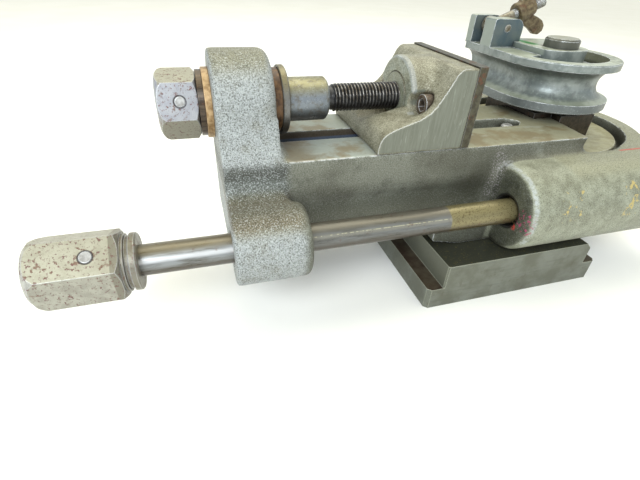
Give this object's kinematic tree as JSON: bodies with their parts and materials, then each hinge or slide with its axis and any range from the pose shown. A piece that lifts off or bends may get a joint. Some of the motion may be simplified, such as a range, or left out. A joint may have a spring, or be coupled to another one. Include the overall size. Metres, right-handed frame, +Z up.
{
  "type": "manual tube bender",
  "caption": "Bench tube bender: a worm-driven grooved radius block with a clamp bolt, and a screw-fed slide with a face plate, on a cast-iron body.",
  "frame": {"origin": "on the bench under the spindle, where the spindle axis meets the underside of the mounting foot", "axes": "+X along the two shafts, away from the crank ends; +Y towards the back; +Z up along the spindle axis"},
  "size_m": [0.52, 0.2182, 0.2241],
  "materials": {
    "cast_body": "rough",
    "cast_slide": "rough",
    "foot_iron": "machined",
    "die_steel": "worn",
    "disc_oiled": "oily",
    "block_dark": "oily",
    "plate_steel": "worn",
    "hex_steel": "rusty",
    "pin_bright": "satin",
    "shaft_steel": "worn",
    "screw_dark": "oily",
    "bronze": "dull",
    "cover_grey": "rough",
    "screw_black": "black oxide",
    "worm_steel": "machined",
    "wheel_bronze": "machined",
    "bolt_steel": "worn",
    "wing_rust": "rusty"
  },
  "bodies": {
    "frame": {"bearing_block": "block_dark", "block_screw_1": "screw_black", "block_screw_2": "screw_black", "block_screw_3": "screw_black", "body_casting": "cast_body", "bottom_cover": "cover_grey", "bottom_cover_screw_1": "screw_black", "bottom_cover_screw_2": "screw_black", "bottom_cover_screw_3": "screw_black", "bottom_cover_screw_4": "screw_black", "cover_disc": "disc_oiled", "end_cap": "cover_grey", "end_cap_screw_1": "screw_black", "end_cap_screw_2": "screw_black", "end_cap_screw_3": "screw_black", "end_cap_screw_4": "screw_black", "foot_screw_1": "screw_black", "foot_screw_2": "screw_black", "foot_screw_3": "screw_black", "foot_screw_4": "screw_black", "mounting_foot": "foot_iron", "screw_bush": "bronze", "shaft_bush_barrel": "bronze", "shaft_bush_bracket": "bronze", "shaft_bush_end": "bronze", "slot_stop_pin": "pin_bright", "spindle_bush_lower": "bronze", "spindle_bush_upper": "bronze", "thrust_washer_left_bronze": "bronze", "thrust_washer_left_steel": "shaft_steel", "thrust_washer_right_bronze": "bronze"},
    "drive": {"drive_shaft": "shaft_steel", "drive_hex": "hex_steel", "drive_hex_pin": "pin_bright", "worm": "worm_steel", "worm_key": "worm_steel"},
    "die": {"spindle": "die_steel", "worm_wheel": "wheel_bronze", "wheel_key": "worm_steel", "radius_block": "die_steel", "die_key": "worm_steel", "clevis_pin": "bolt_steel"},
    "bolt": {"swing_bolt": "bolt_steel"},
    "nut": {"wing_nut": "wing_rust"},
    "screw": {"feed_screw": "screw_dark", "feed_hex": "hex_steel", "feed_hex_pin": "pin_bright"},
    "slide": {"slide_block": "cast_slide", "feed_nut": "cast_slide", "face_plate": "plate_steel", "plate_screw_front": "screw_black", "plate_screw_back": "screw_black", "guide_key": "plate_steel", "keeper_plate": "plate_steel", "keeper_screw_1": "screw_black", "keeper_screw_2": "screw_black"}
  },
  "joints": [
    {"name": "die_turn", "type": "hinge", "parent": "frame", "child": "die", "pos_m": [0, 0, 0.13], "axis": [0, 0, 1], "range_deg": [-180, 0]},
    {"name": "drive_spin", "type": "hinge", "parent": "frame", "child": "drive", "pos_m": [0, -0.099, 0.073], "axis": [1, 0, 0], "range_deg": [-9000, 0]},
    {"name": "slide_feed", "type": "slide", "parent": "frame", "child": "slide", "axis": [1, 0, 0], "range_m": [-0.05, 0.026]},
    {"name": "feed_spin", "type": "hinge", "parent": "frame", "child": "screw", "pos_m": [-0.3, -0.032, 0.144], "axis": [1, 0, 0], "range_deg": [-3700, 7100]},
    {"name": "bolt_swing", "type": "hinge", "parent": "die", "child": "bolt", "pos_m": [-0.0365, 0.052, 0.1805], "axis": [0, -1, 0], "range_deg": [0, 150]},
    {"name": "nut_spin", "type": "hinge", "parent": "bolt", "child": "nut", "pos_m": [-0.0365, 0.052, 0.1805], "axis": [0.9272, 0, 0.3746], "range_deg": [0, 360]}
  ],
  "couplings": [
    {"joint": "drive_spin", "follows": "die_turn", "ratio": 50},
    {"joint": "feed_spin", "follows": "slide_feed", "rad_per_m": -2473.7}
  ]
}
